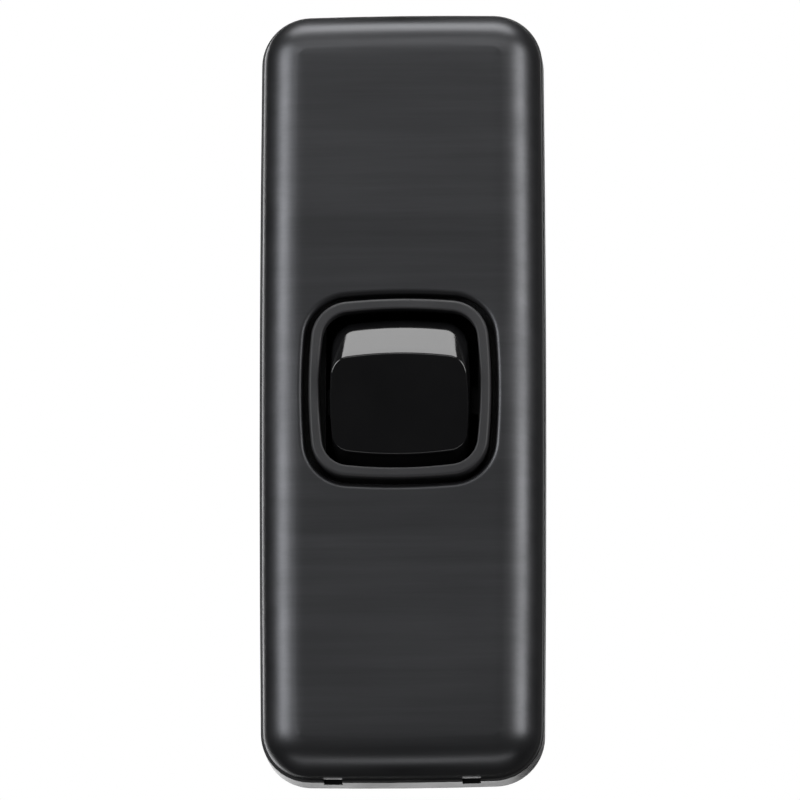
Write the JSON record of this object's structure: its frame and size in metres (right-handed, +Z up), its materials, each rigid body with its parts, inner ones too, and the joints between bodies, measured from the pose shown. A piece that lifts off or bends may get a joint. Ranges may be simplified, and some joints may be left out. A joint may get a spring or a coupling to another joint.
{
  "type": "rocker wall switch",
  "caption": "Tall narrow wall switch plate with rounded satin black cover and a gloss rocker in a square collar; screws to a wall box, wires enter behind.",
  "frame": {"origin": "centre of the two wall-screw holes, in the plane of the wall", "axes": "+X right as seen from the room, +Y into the wall, +Z up; the rocker faces -Y"},
  "size_m": [0.0402, 0.0334, 0.11],
  "materials": {
    "frame_plastic": "fine moulded texture",
    "cover_metal": "satin black, brushed across",
    "spring_steel": "bright rolled",
    "collar_plastic": "matt charcoal",
    "housing_plastic": "moulded",
    "cap_plastic": "moulded",
    "screw_steel": "zinc plated",
    "rocker_gloss": "polished",
    "pin_steel": "ground",
    "nylon": "natural",
    "brass": "stamped",
    "silver": "satin silver"
  },
  "bodies": {
    "base": {"mounting_frame": "frame_plastic", "cover_springs": "spring_steel", "switch_collar": "collar_plastic", "switch_housing": "housing_plastic", "terminal_block": "housing_plastic", "rear_cap": "cap_plastic", "cap_screws": "screw_steel", "pivot_pins": "pin_steel", "fixed_contact_one": "brass", "fixed_contact_two": "brass", "fixed_tips": "silver", "common_contact": "brass", "terminal_common": "brass", "terminal_one": "brass", "terminal_two": "brass", "terminal_loop": "brass", "earth_terminal": "brass", "earth_spring": "spring_steel"},
    "cover": {"cover_plate": "cover_metal"},
    "rocker_body": {"rocker": "rocker_gloss"},
    "plunger_body": {"plunger": "nylon", "plunger_spring": "spring_steel"},
    "contact_arm": {"moving_contact": "brass", "moving_tips": "silver"},
    "screw_common": {"terminal_screw_common": "screw_steel"},
    "screw_one": {"terminal_screw_one": "screw_steel"},
    "screw_loop": {"terminal_screw_loop": "screw_steel"},
    "screw_two": {"terminal_screw_two": "screw_steel"},
    "screw_earth": {"earth_screw": "screw_steel"}
  },
  "joints": [
    {"name": "cover_lift", "type": "slide", "parent": "base", "child": "cover", "axis": [0, -1, 0], "range_m": [0, 0.02]},
    {"name": "rocker_turn", "type": "hinge", "parent": "base", "child": "rocker_body", "pos_m": [0, -0.00405, 0], "axis": [-1, 0, 0], "range_deg": [0, 32]},
    {"name": "plunger_slide", "type": "slide", "parent": "rocker_body", "child": "plunger_body", "axis": [0, -0.9613, -0.2756], "range_m": [0, 0.0008], "stiffness_N_per_m": 800, "springref_m": -0.001},
    {"name": "contact_turn", "type": "hinge", "parent": "base", "child": "contact_arm", "pos_m": [0, 0.0052, 0], "axis": [-1, 0, 0], "range_deg": [-18, 0]},
    {"name": "screw_common_drive", "type": "slide", "parent": "base", "child": "screw_common", "axis": [0, 0, -1], "range_m": [0, 0.0012]},
    {"name": "screw_one_drive", "type": "slide", "parent": "base", "child": "screw_one", "axis": [0, 0, -1], "range_m": [0, 0.0012]},
    {"name": "screw_loop_drive", "type": "slide", "parent": "base", "child": "screw_loop", "axis": [0, 0, 1], "range_m": [0, 0.0012]},
    {"name": "screw_two_drive", "type": "slide", "parent": "base", "child": "screw_two", "axis": [0, 0, 1], "range_m": [0, 0.0012]},
    {"name": "screw_earth_drive", "type": "slide", "parent": "base", "child": "screw_earth", "axis": [0, 0, 1], "range_m": [0, 0.0012]}
  ],
  "couplings": [
    {"joint": "contact_turn", "follows": "rocker_turn", "ratio": -0.5625}
  ]
}
